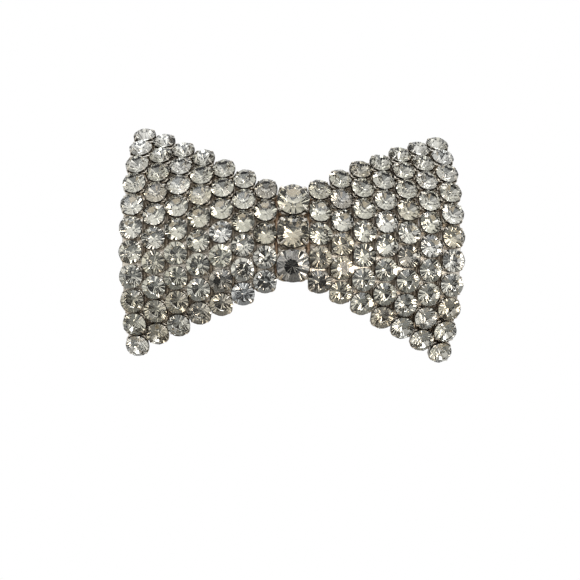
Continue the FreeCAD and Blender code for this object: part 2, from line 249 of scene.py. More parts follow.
world = bpy.data.worlds.new("surroundings")
bpy.context.scene.world = world
world.use_nodes = True
nodes, links = world.node_tree.nodes, world.node_tree.links
lit, white = nodes["Background"], nodes.new("ShaderNodeBackground")
for sky, strength in ((lit, SURROUND_LIGHT), (white, 1)):
    sky.inputs["Color"].default_value = (1, 1, 1, 1)
    sky.inputs["Strength"].default_value = strength
rays = nodes.new("ShaderNodeLightPath")
seen, shown = nodes.new("ShaderNodeMath"), nodes.new("ShaderNodeMath")
seen.operation = shown.operation = "MAXIMUM"
links.new(rays.outputs["Is Camera Ray"], seen.inputs[0])
links.new(rays.outputs["Is Glossy Ray"], seen.inputs[1])
links.new(seen.outputs["Value"], shown.inputs[0])
links.new(rays.outputs["Is Transmission Ray"], shown.inputs[1])
choose = nodes.new("ShaderNodeMixShader")
links.new(shown.outputs["Value"], choose.inputs["Fac"])
links.new(lit.outputs["Background"], choose.inputs[1])
links.new(white.outputs["Background"], choose.inputs[2])
links.new(choose.outputs["Shader"], nodes["World Output"].inputs["Surface"])

# ---------------------------------------------------------------------------
# The cup strips: fourteen lengths of cup chain, stamped from thin brass and
# rhodium plated, seven to each wing and one stone longer each time. They are
# bent to one arc and soldered side by side to the wires behind them.
# ---------------------------------------------------------------------------
STRIPS_PER_WING = 7
STONES_BY_KNOT = 5
CHAIN_PITCH = 4.55 * mm
STRIP_SPACING = 4.12 * mm
FIRST_STRIP_X = 5.2 * mm
ARC_RADIUS = 30.3 * mm
WING_LEAN = 1.5 * mm
INNER_SPLAY = 6  # degrees
OUTER_SPLAY = 10
# how far each strip has slipped up from the middle, in mm
LEFT_SLIPS = (-0.20, -0.35, -0.25, 0.20, -0.05, 0.35, -0.10)
RIGHT_SLIPS = (-0.05, 0.25, 0.45, 0.05, 0.25, 0.00, -0.45)
KNOT_STONES = 3
KNOT_PITCH = 6.45 * mm
KNOT_FORWARD = 0.95 * mm
KNOT_CROWN = 1.25 * mm
FACE_Z = -1.5 * mm
FACE_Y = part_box("knot_stones")[0].y + KNOT_FORWARD + KNOT_CROWN


def bow_place(x, forward, splay, arc):
    """Where a stone's girdle lies: local z points out of the bow, local y up the strip."""
    level = Matrix.Rotation(math.radians(splay), 4, "Z")
    turn = level @ Matrix.Rotation(math.radians(90) - arc / ARC_RADIUS, 4, "X")
    arc_centre = Vector((x, FACE_Y - forward, FACE_Z)) + level.to_3x3() @ Vector((0, ARC_RADIUS, 0))
    out = turn.to_3x3() @ Vector((0, 0, 1))
    return Matrix.Translation(arc_centre + out * ARC_RADIUS) @ turn


def strip_place(side, strip, arc):
    """A place on a wing's strip; side is -1 or 1, strips count from the knot."""
    share = (strip - 1) / (STRIPS_PER_WING - 1)
    x = FIRST_STRIP_X + (strip - 1) * STRIP_SPACING
    splay = INNER_SPLAY + share * (OUTER_SPLAY - INNER_SPLAY)
    return bow_place(side * x, share * WING_LEAN, side * splay, arc)


def knot_place(arc):
    return bow_place(0, KNOT_FORWARD, 0, arc)


def arcs(count, pitch, slip=0.0):
    return [slip + (i - (count - 1) / 2) * pitch for i in range(count)]


def strip_arcs(side, strip):
    slips = LEFT_SLIPS if side < 0 else RIGHT_SLIPS
    return arcs(STONES_BY_KNOT + strip - 1, CHAIN_PITCH, slips[strip - 1] * mm)


class Heap:
    """One piece as it is added together; shade and tarnish levels say how brown each point is from tarnish
    and painted shade, tones how bright.
    """

    def __init__(self):
        self.points, self.faces, self.depths, self.tones, self.slots = [], [], [], [], []

    def add(self, place, points, faces, depths, tone=0.5, slots=None):
        first = len(self.points)
        self.points += [place @ Vector(p) for p in points]
        self.faces += [tuple(first + i for i in face) for face in faces]
        self.depths += depths
        self.tones += [tone] * len(points)
        self.slots += slots or [0] * len(faces)

    def piece(self, name, finishes, smooth=True):
        made = mesh_piece(name, self.points, self.faces, finishes, smooth)
        # recess carries each point's brown: tarnish and painted shade
        for label, values in (("recess", self.depths), ("own_tone", self.tones)):
            shade = made.data.attributes.new(label, "FLOAT", "POINT")
            shade.data.foreach_set("value", values)
        made.data.polygons.foreach_set("material_index", self.slots)
        return made


def rings_closed(rings):
    """Faces of a tube of point rings, with a cap on each end."""
    count = len(rings[0])
    faces = [tuple(reversed(range(count)))]
    for r in range(len(rings) - 1):
        a, b = r * count, (r + 1) * count
        faces += [(a + i, a + (i + 1) % count, b + (i + 1) % count, b + i) for i in range(count)]
    last = (len(rings) - 1) * count
    faces.append(tuple(last + i for i in range(count)))
    return [p for ring in rings for p in ring], faces


CUP_STEPS = 8  # points round each corner of a cup
CUP_SHOULDER = -0.6 * mm
CUP_COLLAR_SPARE = 0.02 * mm
CUP_BOTTOM = 0.12 * mm  # how thick the metal is under the stone


def rounded_square(half, corner_radius, z):
    """One ring of a cup: a square with round corners, or a circle when the two sizes are equal."""
    ring = []
    for quarter in range(4):
        turn = math.radians(90 * quarter)
        for step in range(CUP_STEPS):
            angle = math.radians(90) * (step + 0.5) / CUP_STEPS
            x = half - corner_radius + corner_radius * math.cos(angle)
            y = half - corner_radius + corner_radius * math.sin(angle)
            ring.append((
                x * math.cos(turn) - y * math.sin(turn),
                x * math.sin(turn) + y * math.cos(turn),
                z,
            ))
    return ring


def cup_shell(half, girdle, foot_half, foot_z, seat):
    """A stamped cup: a square body with a shoulder, and on it a thin round collar that hugs the stone; the
    collar and the cup's inside are painted near black as the shadow under the stone.
    """
    corner = half * 0.5
    shoulder = CUP_SHOULDER
    collar = girdle + CUP_COLLAR_SPARE
    rings = [
        # ring, how brown it is at its corners and how much more along its sides; the brown is tarnish and
        # painted shade, and the extra along the sides paints the dark crescents of shadow between the stones
        (rounded_square(foot_half * 0.55, foot_half * 0.3, foot_z), 0.25, 0.0),
        (rounded_square(foot_half * 0.94, foot_half * 0.18, foot_z), 0.25, 0.0),
        (rounded_square(foot_half, foot_half * 0.2, foot_z + 0.10 * mm), 0.35, 0.2),
        (rounded_square((foot_half + half) / 2 + 0.05 * mm, corner * 0.9, foot_z * 0.6), 0.15, 0.40),
        (rounded_square(half - 0.05 * mm, corner * 0.95, shoulder - 0.25 * mm), 0.08, 0.55),
        (rounded_square(half, corner, shoulder), 0.0, 0.5),
        (rounded_square(half - 0.06 * mm, corner, shoulder + 0.05 * mm), 0.0, 0.5),
        # the collar and the cup's inside are painted near black: painted shadow under the stone's girdle
        (rounded_square(collar - 0.04 * mm, collar - 0.04 * mm, shoulder + 0.10 * mm), 0.7, 0.3),
        (rounded_square(collar, collar, -0.12 * mm), 1.0, 0.0),
        (rounded_square(collar, collar, -0.05 * mm), 0.9, 0.0),
        (rounded_square(collar - 0.05 * mm, collar - 0.05 * mm, -0.12 * mm), 1.0, 0.0),
        (rounded_square(seat, seat * 0.7, -0.58 * mm), 1.0, 0.0),
        (rounded_square(seat * 0.6, seat * 0.45, foot_z * 0.7), 1.0, 0.0),
        (rounded_square(foot_half * 0.3, foot_half * 0.2, foot_z + CUP_BOTTOM), 1.0, 0.0),
    ]
    points, faces = rings_closed([ring for ring, _, _ in rings])
    depths = []
    for ring, shade, side_shade in rings:
        for x, y, _ in ring:
            flatness = abs(abs(x) - abs(y)) / max(abs(x), abs(y))
            depths.append(shade + side_shade * flatness)
    return points, faces, depths


EIGHT_TURNS = [math.radians(45 * k + 22.5) for k in range(8)]


def squared_round(across_power, through_power, turns=EIGHT_TURNS):
    """Points of a rounded box one unit to each side; lower powers make it squarer."""
    return [(
        math.copysign(abs(math.cos(a)) ** across_power, math.cos(a)),
        math.copysign(abs(math.sin(a)) ** through_power, math.sin(a)),
    ) for a in turns]


def claw_strip(angle, path, widths, thicks, lean):
    """One long claw at a cup's corner: a flat tapered strip bent over the stone. path is (radius, z)."""
    cross = squared_round(0.6, 0.6)
    rings = []
    for i, (r, z) in enumerate(path):
        r0, z0 = path[max(i - 1, 0)]
        r1, z1 = path[min(i + 1, len(path) - 1)]
        along = Vector((r1 - r0, z1 - z0)).normalized()
        out = Vector((along.y, -along.x))
        side_shift = lean * (i / (len(path) - 1)) ** 2
        ring = []
        for across, through in cross:
            rr = r + out.x * through * thicks[i] / 2
            zz = z + out.y * through * thicks[i] / 2
            ss = across * widths[i] / 2 + side_shift
            ring.append((
                rr * math.cos(angle) - ss * math.sin(angle),
                rr * math.sin(angle) + ss * math.cos(angle),
                zz,
            ))
        rings.append(ring)
    return rings_closed(rings)


CLAW_SHADES = (0.9, 0.7, 0.5, 0.3, 0.1, 0.0, 0.0, 0.0, 0.0)  # brown at its root from tarnish and painted shade down in the gap, bright at its tip
CHAIN_CLAW = (
    # from the cup's middle, above the girdle, width and thickness in mm, from root to tip
    (2.16, -1.10, 0.56, 0.18),
    (2.24, -0.60, 0.46, 0.18),
    (2.27, -0.12, 0.32, 0.16),
    (2.25, 0.05, 0.27, 0.16),
    (2.17, 0.16, 0.25, 0.16),
    (2.04, 0.23, 0.24, 0.15),
    (1.92, 0.32, 0.23, 0.14),
    (1.80, 0.42, 0.21, 0.12),
    (1.70, 0.49, 0.14, 0.08),
)


def add_cup(heap, place, chance, tone, claw, cup_sizes):
    """One cup with its four claws, each bent a little differently."""
    points, faces, depths = cup_shell(*cup_sizes)
    heap.add(place, points, faces, depths, tone)
    last = len(claw) - 1
    for corner in range(4):
        angle = math.radians(45 + 90 * corner + chance.uniform(-3, 3))
        reach = chance.uniform(-0.10, 0.08) * mm
        lift = chance.uniform(-0.01, 0.06) * mm
        wide = chance.uniform(0.88, 1.12)
        lean = chance.uniform(-0.16, 0.16) * mm
        path = []
        for i, (r, z, _, _) in enumerate(claw):
            bend = (i / last) ** 3
            path.append((r * mm + reach * bend, z * mm + (lift - reach * 0.6) * bend))
        widths = [width * mm * wide for _, _, width, _ in claw]
        thicks = [thick * mm for _, _, _, thick in claw]
        points, faces = claw_strip(angle, path, widths, thicks, lean)
        shades = [shade for shade in CLAW_SHADES for _ in range(len(points) // len(claw))]
        heap.add(place, points, faces, shades, chance.uniform(0.2, 1.2))


def plate_finish(name, bright, worn, shade_and_tarnish_colour, rough, scratch):
    """Rhodium plate over brass: bright where it is rubbed, brown in the recesses from tarnish and painted
    shade, finely scratched.
    """
    plate = Finish(name)
    cloud = plate.noise(420, 4)
    fine = plate.noise(2600, 3)
    # worn against bright plate, by cloud and by the piece's own tone
    rubbed = plate.scaled(plate.shade("own_tone"), 0.6, plate.scaled(cloud, 1.1, -0.45), clamp=True)
    metal = plate.mixed(rubbed, worn, bright)
    # brown tarnish and painted shade in the recesses, its edge broken up by the fine noise
    shade_and_tarnish_share = plate.mapped(plate.scaled(fine, 0.5, plate.shade("recess")), 0.28, 1.0, curve="SMOOTHSTEP")
    gloss = plate.mapped(fine, 0.3, 0.75, rough * 0.7, rough * 1.6)
    plate.feed(plate.shader, {
        "Metallic": 1,
        "Base Color": plate.mixed(shade_and_tarnish_share, metal, shade_and_tarnish_colour),
        "Roughness": plate.scaled(shade_and_tarnish_share, 0.25, gloss, clamp=True),
    })
    plate.raised(fine, scratch, 0.05 * mm)
    return plate.material


# near-black recess colour: painted shadow under the stones and between the cups, mixed with tarnish
aged_and_shaded_plate = plate_finish(
    "aged_and_shaded_rhodium", (0.95, 0.93, 0.88), (0.74, 0.66, 0.55), (0.05, 0.04, 0.03), rough=0.22, scratch=0.24)

# half width, girdle, half width of the foot, foot level, half width of the seat
CHAIN_CUP = (2.00 * mm, 2.16 * mm, 1.75 * mm, -2.2 * mm, 1.72 * mm)
LINK_WIDTH = 3.95 * mm
LINK_THICKNESS = 0.35 * mm
LINK_LAP = 0.3 * mm


def add_link(heap, place_a, place_b, foot_half, foot_z, width):
    """The strap that joins two cups of a chain at their feet."""
    start = place_a @ Vector((0, foot_half - LINK_LAP, foot_z + LINK_THICKNESS / 2))
    end = place_b @ Vector((0, -foot_half + LINK_LAP, foot_z + LINK_THICKNESS / 2))
    across = (place_a.to_3x3() @ Vector((1, 0, 0))).normalized()
    along = (end - start).normalized()
    out = across.cross(along)
    section = [across * x * width / 2 + out * z * LINK_THICKNESS / 2 for x, z in squared_round(0.12, 0.3)]
    middles = [start.lerp(end, step / 4) for step in range(5)]
    points, faces = rings_closed([[middle + spot for spot in section] for middle in middles])
    heap.add(Matrix.Identity(4), points, faces, [0.15] * len(points), 0.4)


for side, side_name in ((-1, "left"), (1, "right")):
    for strip in range(1, STRIPS_PER_WING + 1):
        chance = random.Random(100 * strip + side)
        heap = Heap()
        places = [strip_place(side, strip, arc) for arc in strip_arcs(side, strip)]
        for place in places:
            add_cup(heap, place, chance, chance.uniform(0.2, 0.8), CHAIN_CLAW, CHAIN_CUP)
        for lower, upper in zip(places, places[1:]):
            add_link(heap, lower, upper, CHAIN_CUP[2], CHAIN_CUP[3], LINK_WIDTH)
        cups = heap.piece(f"{side_name}_chain_cups_{strip}", [aged_and_shaded_plate])
        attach(cups, "brooch")
        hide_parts(f"{side_name}_cup_strip_{strip}")

# ---------------------------------------------------------------------------
# The solder seams: the strips are joined edge to edge by soft solder that ran
# into the slits between their ribbons and set in low uneven beads. The slits
# beside the knot show bare brass.
# ---------------------------------------------------------------------------
SEAM_DEPTH = 1.9 * mm
SEAM_HALF_WIDTH = 0.36 * mm
SEAM_HALF_HEIGHT = 0.22 * mm
SEAM_STEP = 0.75 * mm
SEAM_OVERRUN = 0.4 * CHAIN_PITCH
SEAM_END_SWELL = 0.45
KNOT_SLIT_X = 3.1 * mm
KNOT_SLIT_HALF_ARC = 8.6 * mm

soft_solder = plate_finish(
    "soft_solder", (0.78, 0.75, 0.69), (0.60, 0.52, 0.42), (0.30, 0.24, 0.18), rough=0.36, scratch=0.6)
bare_brass = plate_finish(
    "bare_brass", (0.66, 0.51, 0.39), (0.48, 0.34, 0.23), (0.18, 0.11, 0.07), rough=0.34, scratch=0.5)


def add_seam(heap, places, depth, chance):
    """A bead of solder that runs behind the given places."""
    rings = []
    for k, place in enumerate(places):
        swell = chance.uniform(0.8, 1.25) * (SEAM_END_SWELL if k in (0, len(places) - 1) else 1.0)
        ring = []
        for i in range(8):
            a = math.radians(45 * i)
            ring.append(place @ Vector((
                math.cos(a) * SEAM_HALF_WIDTH * swell,
                0,
                math.sin(a) * SEAM_HALF_HEIGHT * swell - depth,
            )))
        rings.append(ring)
    points, faces = rings_closed(rings)
    # 0.38: a share of brown, tarnish and painted shade in the slit between the strips
    heap.add(Matrix.Identity(4), points, faces, [0.38] * len(points), chance.uniform(0.4, 0.9))


def even_arcs(low, high):
    steps = round((high - low) / SEAM_STEP)
    return [low + (high - low) * k / steps for k in range(steps + 1)]


for side, side_name in ((-1, "left"), (1, "right")):
    chance = random.Random(400 + side)
    heap = Heap()
    for strip in range(1, STRIPS_PER_WING):
        inner, outer = strip_arcs(side, strip), strip_arcs(side, strip + 1)
        low = max(inner[0], outer[0]) - SEAM_OVERRUN
        high = min(inner[-1], outer[-1]) + SEAM_OVERRUN
        between = [strip_place(side, strip + 0.5, arc) for arc in even_arcs(low, high)]
        add_seam(heap, between, SEAM_DEPTH, chance)
    seams = heap.piece(f"{side_name}_solder_seams", [soft_solder])
    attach(seams, "brooch")

chance = random.Random(77)
heap = Heap()
for side in (-1, 1):
    places = [
        bow_place(side * KNOT_SLIT_X, KNOT_FORWARD / 2, side * INNER_SPLAY / 2, arc)
        for arc in even_arcs(-KNOT_SLIT_HALF_ARC, KNOT_SLIT_HALF_ARC)
    ]
    add_seam(heap, places, SEAM_DEPTH, chance)
knot_seams = heap.piece("knot_solder_seams", [bare_brass])
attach(knot_seams, "brooch")

# ---------------------------------------------------------------------------
# The chain stones: round brilliants of clear pressed crystal, point backed,
# with a mirror foil under a lacquer on the back. One drops into each cup and
# the four claws are bent down over it.
# ---------------------------------------------------------------------------
CHAIN_STONE = (2.16 * mm, 1.20 * mm, 0.85 * mm, 1.78 * mm)  # girdle, table, crown, depth of the back
STONE_EDGE = 0.05 * mm
STONE_WEAR = math.radians(1.3)
STONE_TIP = 0.05 * mm
STONE_TILT = 1.1  # degrees
UPPER_DEPTH = 0.99  # backs of the upper stones, against the usual cut
LOWER_EXTRA_DEPTH = 0.11  # deeper backs, which show as dark stars
LOWER_FROM = 5.6 * mm
LOWER_FADE = 14 * mm
# Stones at the wings' lower edges with a foil tone that paints light, bright ones a painted highlight and
# dark ones a painted dark reflection: side, strip, place from below, foil tone
STONES_WITH_PAINTED_LIGHT = {
    (-1, 1, 0): 0.75,
    (-1, 2, 0): 1.0,
    (-1, 3, 0): 0.14,
    (-1, 4, 0): 0.12,
    (-1, 7, 0): 0.6,
    (1, 1, 0): 0.10,
    (1, 2, 0): 0.2,
    (1, 4, 0): 0.15,
    (1, 6, 0): 0.5,
}


def stone_cut(girdle, table, crown, pavilion):
    """A round stone: a table and eight facets above the girdle, sixteen darts and their worn edges below."""
    edge, wear = STONE_EDGE, STONE_WEAR
    crown_slope = (crown - edge) / (girdle - table * math.cos(math.radians(22.5)))
    back_slope = (pavilion - edge) / girdle

    def spot(angle, radius, height):
        return (math.cos(angle) * radius, math.sin(angle) * radius, height)

    top, low = [], []
    for step in range(16):
        for shift in (-wear, wear):
            angle = math.radians(22.5) * step + shift
            from_crown_middle = (angle % math.radians(45)) - math.radians(22.5)
            from_dart_middle = (angle % math.radians(22.5)) - math.radians(11.25)
            top.append(spot(angle, girdle, edge + crown_slope * girdle * (1 - math.cos(from_crown_middle))))
            low.append(spot(angle, girdle, -edge - back_slope * girdle * (1 - math.cos(from_dart_middle))))
    points = [spot(math.radians(45) * k, table, crown) for k in range(8)] + top + low
    tip_level = -pavilion + back_slope * STONE_TIP
    points += [spot(math.radians(22.5) * k, STONE_TIP, tip_level) for k in range(16)]
    # first points of the girdle's upper edge, its lower edge and the tip; slots: crystal, foil, and rib foil
    # lightened as a painted highlight
    upper, lower, tip = 8, 40, 72
    faces, slots = [tuple(range(8)), tuple(tip + k for k in reversed(range(16)))], [0, 1]
    for k in range(8):
        rim = [upper + (4 * k + i) % 32 for i in range(1, 5)]
        faces += [((k + 1) % 8, k, *rim), (k, upper + 4 * k, upper + 4 * k + 1)]
        slots += [0, 0]
    for k in range(16):
        a, b, c = 2 * k, 2 * k + 1, (2 * k + 2) % 32
        faces += [
            (tip + k, lower + b, lower + a),
            (tip + k, tip + (k + 1) % 16, lower + c, lower + b),
            (upper + a, lower + a, lower + b, upper + b),
            (upper + b, lower + b, lower + c, upper + c),
        ]
        slots += [2, 1, 0, 0]
    return points, faces, slots


FOIL_TONES = (
    # from slate and smoke over champagne to clean silver
    (0.0, (0.17, 0.18, 0.19)),
    (0.10, (0.58, 0.58, 0.60)),
    (0.22, (0.84, 0.80, 0.71)),
    (0.35, (0.87, 0.865, 0.80)),
    (0.7, (0.93, 0.925, 0.89)),
    (1.0, (0.95, 0.96, 0.97)),
)


def glass_finish(name):
    """Clear crystal, with faint smears on its facets."""
    glass = Finish(name)
    smear = glass.noise(900, 3)
    glass.feed(glass.shader, {
        "Transmission Weight": 1,
        "IOR": 1.56,
        "Base Color": glass.mixed(smear, (0.99, 0.985, 0.96), (0.93, 0.91, 0.86)),
        "Roughness": glass.mapped(smear, 0.45, 0.8, 0.0, 0.03),
    })
    glass.raised(smear, 0.01, 0.02 * mm)
    return glass.material


def foil_finish(name, lift):
    """Mirror foil on the back of the stones, from clean silver to tarnished champagne and slate; the
    brightest and darkest tones on a few stones are painted highlights and painted dark reflections, and the
    lighter rib foil is a painted highlight.
    """
    foil = Finish(name)
    cloud = foil.noise(500, 3)
    tone = foil.scaled(cloud, 0.12, foil.scaled(foil.shade("own_tone"), 1, lift), clamp=True)
    ramp = foil.node("ShaderNodeValToRGB", {"Fac": tone})
    steps = ramp.color_ramp.elements
    steps[0].color, steps[1].color = (*FOIL_TONES[0][1], 1), (*FOIL_TONES[-1][1], 1)
    for position, colour in FOIL_TONES[1:-1]:
        steps.new(position).color = (*colour, 1)
    foil.feed(foil.shader, {
        "Metallic": 1,
        "Base Color": ramp.outputs["Color"],
        "Roughness": foil.mapped(cloud, 0.0, 1.0, 0.0, 0.04),
    })
    foil.raised(cloud, 0.04, 0.02 * mm)
    return foil.material


crystal = glass_finish("clear_crystal")
foil = foil_finish("mirror_foil", 0.0)
# the rib foil is lifted lighter: a painted highlight that draws bright lines from the tip to the girdle
rib_highlight_foil = foil_finish("rib_highlight_foil", 0.4)


def add_stone(heap, place, chance, sizes, tone, depth, open_table=1.0):
    """One stone, turned and tilted a little in its seat; depth and open_table are against the usual cut."""
    girdle, table, crown, pavilion = sizes
    table *= open_table * chance.uniform(0.93, 1.05)
    points, faces, slots = stone_cut(girdle, table, crown, pavilion * depth)
    turn = Matrix.Rotation(chance.uniform(0, 360), 4, "Z")
    nod = Matrix.Rotation(math.radians(chance.gauss(0, STONE_TILT)), 4, "X")
    sway = Matrix.Rotation(math.radians(chance.gauss(0, STONE_TILT)), 4, "Y")
    heap.add(place @ nod @ sway @ turn, points, faces, [0.0] * len(points), tone, slots)


for side, side_name in ((-1, "left"), (1, "right")):
    for strip in range(1, STRIPS_PER_WING + 1):
        chance = random.Random(7000 + 100 * strip + side)
        heap = Heap()
        for number, arc in enumerate(strip_arcs(side, strip)):
            tone = min(0.8, max(0.1, chance.gauss(0.4, 0.16)))
            tone = STONES_WITH_PAINTED_LIGHT.get((side, strip, number), tone)
            low_down = min(1.0, max(0.0, (LOWER_FROM - arc) / LOWER_FADE))
            depth = UPPER_DEPTH + LOWER_EXTRA_DEPTH * low_down + chance.uniform(-0.025, 0.025)
            add_stone(heap, strip_place(side, strip, arc), chance, CHAIN_STONE, tone, depth)
        stones = heap.piece(f"{side_name}_chain_stones_{strip}", [crystal, foil, rib_highlight_foil], smooth=False)
        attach(stones, "brooch")
        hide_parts(f"{side_name}_stones_{strip}")

# ---------------------------------------------------------------------------
# The knot: three larger stones of the same cut in larger cups of the same
# chain, standing a little proud of the wings and covering their inner ends.
# ---------------------------------------------------------------------------
KNOT_STONE = (3.08 * mm, 1.68 * mm, KNOT_CROWN, 2.62 * mm)
KNOT_CUP = (2.95 * mm, 3.08 * mm, 2.7 * mm, -3.15 * mm, 2.52 * mm)
KNOT_LINK_WIDTH = 5.9 * mm
KNOT_CLAW = (
    (3.25, -1.50, 0.85, 0.20),
    (3.42, -0.70, 0.80, 0.24),
    (3.42, -0.12, 0.66, 0.26),
    (3.36, 0.14, 0.58, 0.26),
    (3.22, 0.30, 0.54, 0.26),
    (3.00, 0.38, 0.50, 0.24),
    (2.80, 0.50, 0.44, 0.22),
    (2.60, 0.66, 0.36, 0.18),
    (2.46, 0.77, 0.20, 0.10),
)
KNOT_CUTS = (
    # foil tone, depth of the back and width of the table, from the lowest stone up
    (0.07, 1.15, 1.10),
    (0.16, 0.96, 1.0),
    (0.24, 0.99, 1.0),
)

chance = random.Random(31)
heap = Heap()
knot_places = [knot_place(arc) for arc in arcs(KNOT_STONES, KNOT_PITCH)]
for place in knot_places:
    add_cup(heap, place, chance, 0.5, KNOT_CLAW, KNOT_CUP)
for lower, upper in zip(knot_places, knot_places[1:]):
    add_link(heap, lower, upper, KNOT_CUP[2], KNOT_CUP[3], KNOT_LINK_WIDTH)
knot_cups = heap.piece("knot_cups", [aged_and_shaded_plate])
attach(knot_cups, "brooch")
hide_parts("knot_cup_strip")

heap = Heap()
for place, (tone, depth, open_table) in zip(knot_places, KNOT_CUTS):
    add_stone(heap, place, chance, KNOT_STONE, tone, depth, open_table)
knot_gems = heap.piece("knot_crystals", [crystal, foil, rib_highlight_foil], smooth=False)
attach(knot_gems, "brooch")
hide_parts("knot_stones")

# ---------------------------------------------------------------------------
# The wires: four lengths of round brass wire across the backs of the cups and
# two upright stays behind them that carry the bar, all plated after soldering.
# ---------------------------------------------------------------------------
WIRE_RADIUS = 0.5 * mm
SOLDER_LAP = 0.15 * mm
WIRE_DEPTH = -CHAIN_CUP[3] + WIRE_RADIUS - SOLDER_LAP
KNOT_WIRE_DEPTH = -KNOT_CUP[3] + WIRE_RADIUS - SOLDER_LAP
CROSS_WIRE_ARC = 1.25 * CHAIN_PITCH
CROSS_WIRE_OVERHANG = 1.0 * mm
EDGE_WIRE_KNOT_ARC = 7.6 * mm
STAY_X = 14.0 * mm
STAY_HALF_HEIGHT = 5.7 * mm
BAR_FRONT_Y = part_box("pin_bar")[0].y
BAR_BACK_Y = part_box("pin_bar")[1].y
STAY_Y = BAR_FRONT_Y - WIRE_RADIUS + SOLDER_LAP
BEND_REACH = 1.2 * mm
WIRE_SIDES = 20
WIRE_ENDS = ((0.3, 0.55), (0.15, 0.85))  # how far past the end, and how thick there, in radii
CRISP_EDGE = math.radians(32)

frame_plate = plate_finish(
    "frame_rhodium", (0.82, 0.80, 0.75), (0.66, 0.58, 0.48), (0.16, 0.12, 0.085), rough=0.18, scratch=0.14)


def behind(place, depth):
    return place @ Vector((0, 0, -depth))


def eased_bends(points):
    """The same path with each bend rounded off."""
    eased = [points[0]]
    for before, corner, after in zip(points, points[1:], points[2:]):
        start = corner + (before - corner).normalized() * BEND_REACH
        end = corner + (after - corner).normalized() * BEND_REACH
        for step in range(5):
            t = step / 4
            eased.append(start * (1 - t) ** 2 + corner * 2 * t * (1 - t) + end * t ** 2)
    return eased + [points[-1]]


def bent_wire(heap, points, chance):
    """Round wire along a path, with its cut ends rounded over."""
    path = eased_bends(points)
    first, last = (path[1] - path[0]).normalized(), (path[-1] - path[-2]).normalized()
    spots = [(path[0] - first * WIRE_RADIUS * past, swell) for past, swell in WIRE_ENDS]
    spots += [(spot, 1.0) for spot in path]
    spots += [(path[-1] + last * WIRE_RADIUS * past, swell) for past, swell in reversed(WIRE_ENDS)]
    side = first.cross(Vector((0, 1, 0))).normalized()
    rings = []
    for k, (spot, swell) in enumerate(spots):
        along = (spots[min(k + 1, len(spots) - 1)][0] - spots[max(k - 1, 0)][0]).normalized()
        side = (side - along * side.dot(along)).normalized()
        other = along.cross(side)
        turns = [2 * math.pi * i / WIRE_SIDES for i in range(WIRE_SIDES)]
        rings.append([spot + (side * math.cos(a) + other * math.sin(a)) * WIRE_RADIUS * swell for a in turns])
    points, faces = rings_closed(rings)
    heap.add(Matrix.Identity(4), points, faces, [0.15] * len(points), chance.uniform(0.3, 0.8))


def fixed_piece(heap, name, finishes, node_name, body="brooch"):
    """The heap as a piece with crisp edges; it takes the place of a node where one is named."""
    piece = heap.piece(name, finishes)
    piece.data.set_sharp_from_angle(angle=CRISP_EDGE)
    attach(piece, body)
    if node_name:
        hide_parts(node_name)


chance = random.Random(55)
for level, rise in (("upper", 1), ("lower", -1)):
    left, right = [
        [behind(strip_place(side, n, rise * CROSS_WIRE_ARC), WIRE_DEPTH) for n in (1, STRIPS_PER_WING)]
        for side in (-1, 1)
    ]
    left[1] += (left[1] - left[0]).normalized() * CROSS_WIRE_OVERHANG
    right[1] += (right[1] - right[0]).normalized() * CROSS_WIRE_OVERHANG
    heap = Heap()
    bent_wire(heap, [left[1], left[0], right[0], right[1]], chance)
    fixed_piece(heap, f"{level}_cross_wire_round", [frame_plate], f"{level}_cross_wire")

    wings = [
        [
            behind(strip_place(side, n, rise * arcs(STONES_BY_KNOT + n - 1, CHAIN_PITCH)[-1]), WIRE_DEPTH)
            for n in range(1, STRIPS_PER_WING + 1, 2)
        ]
        for side in (-1, 1)
    ]
    knot_spot = behind(knot_place(rise * EDGE_WIRE_KNOT_ARC), KNOT_WIRE_DEPTH)
    heap = Heap()
    bent_wire(heap, wings[0][::-1] + [knot_spot] + wings[1], chance)
    fixed_piece(heap, f"{level}_edge_wire_round", [frame_plate], f"{level}_edge_wire")

for side, side_name in ((-1, "left"), (1, "right")):
    heap = Heap()
    ends = [Vector((side * STAY_X, STAY_Y, FACE_Z + rise * STAY_HALF_HEIGHT)) for rise in (-1, 1)]
    bent_wire(heap, ends, chance)
    fixed_piece(heap, f"{side_name}_stay_round", [frame_plate], f"{side_name}_stay")

# ---------------------------------------------------------------------------
# The solder joints: a low lump of soft solder at every place where a wire
# crosses a strip, where the stays cross the wires and where they meet the bar.
# ---------------------------------------------------------------------------
CHAIN_JOINT = (0.62 * mm, 0.95 * mm, 0.34 * mm)
STAY_JOINT = (0.80 * mm, 0.80 * mm, 0.36 * mm)
BAR_JOINT = (0.95 * mm, 0.60 * mm, 0.30 * mm)
KNOT_JOINT = (1.0 * mm, 0.62 * mm, 0.4 * mm)
CHAIN_JOINT_DEPTH = 2.28 * mm
KNOT_JOINT_DEPTH = 3.2 * mm
STAY_BY_STRIP = 3.1
BAR_EDGE = 2.45 * mm
SOLDER_SINK = 0.05 * mm
LUMP_POINTS = 12


def solder_lump(heap, place, half_sizes, chance):
    """A mound of solder with a soft uneven outline; half_sizes run along local x, y and z."""
    wobble = [chance.uniform(0.85, 1.15) for _ in range(LUMP_POINTS)]
    rings = []
    for rise in (-75, -45, -15, 15, 45, 75):
        level = math.radians(rise)
        ring = []
        for i in range(LUMP_POINTS):
            a = 2 * math.pi * i / LUMP_POINTS
            reach = math.cos(level) * wobble[i]
            ring.append((
                math.cos(a) * reach * half_sizes[0],
                math.sin(a) * reach * half_sizes[1],
                math.sin(level) * half_sizes[2],
            ))
        rings.append(ring)
    points, faces = rings_closed(rings)
    heap.add(place, points, faces, [0.3] * len(points), chance.uniform(0.2, 0.8))


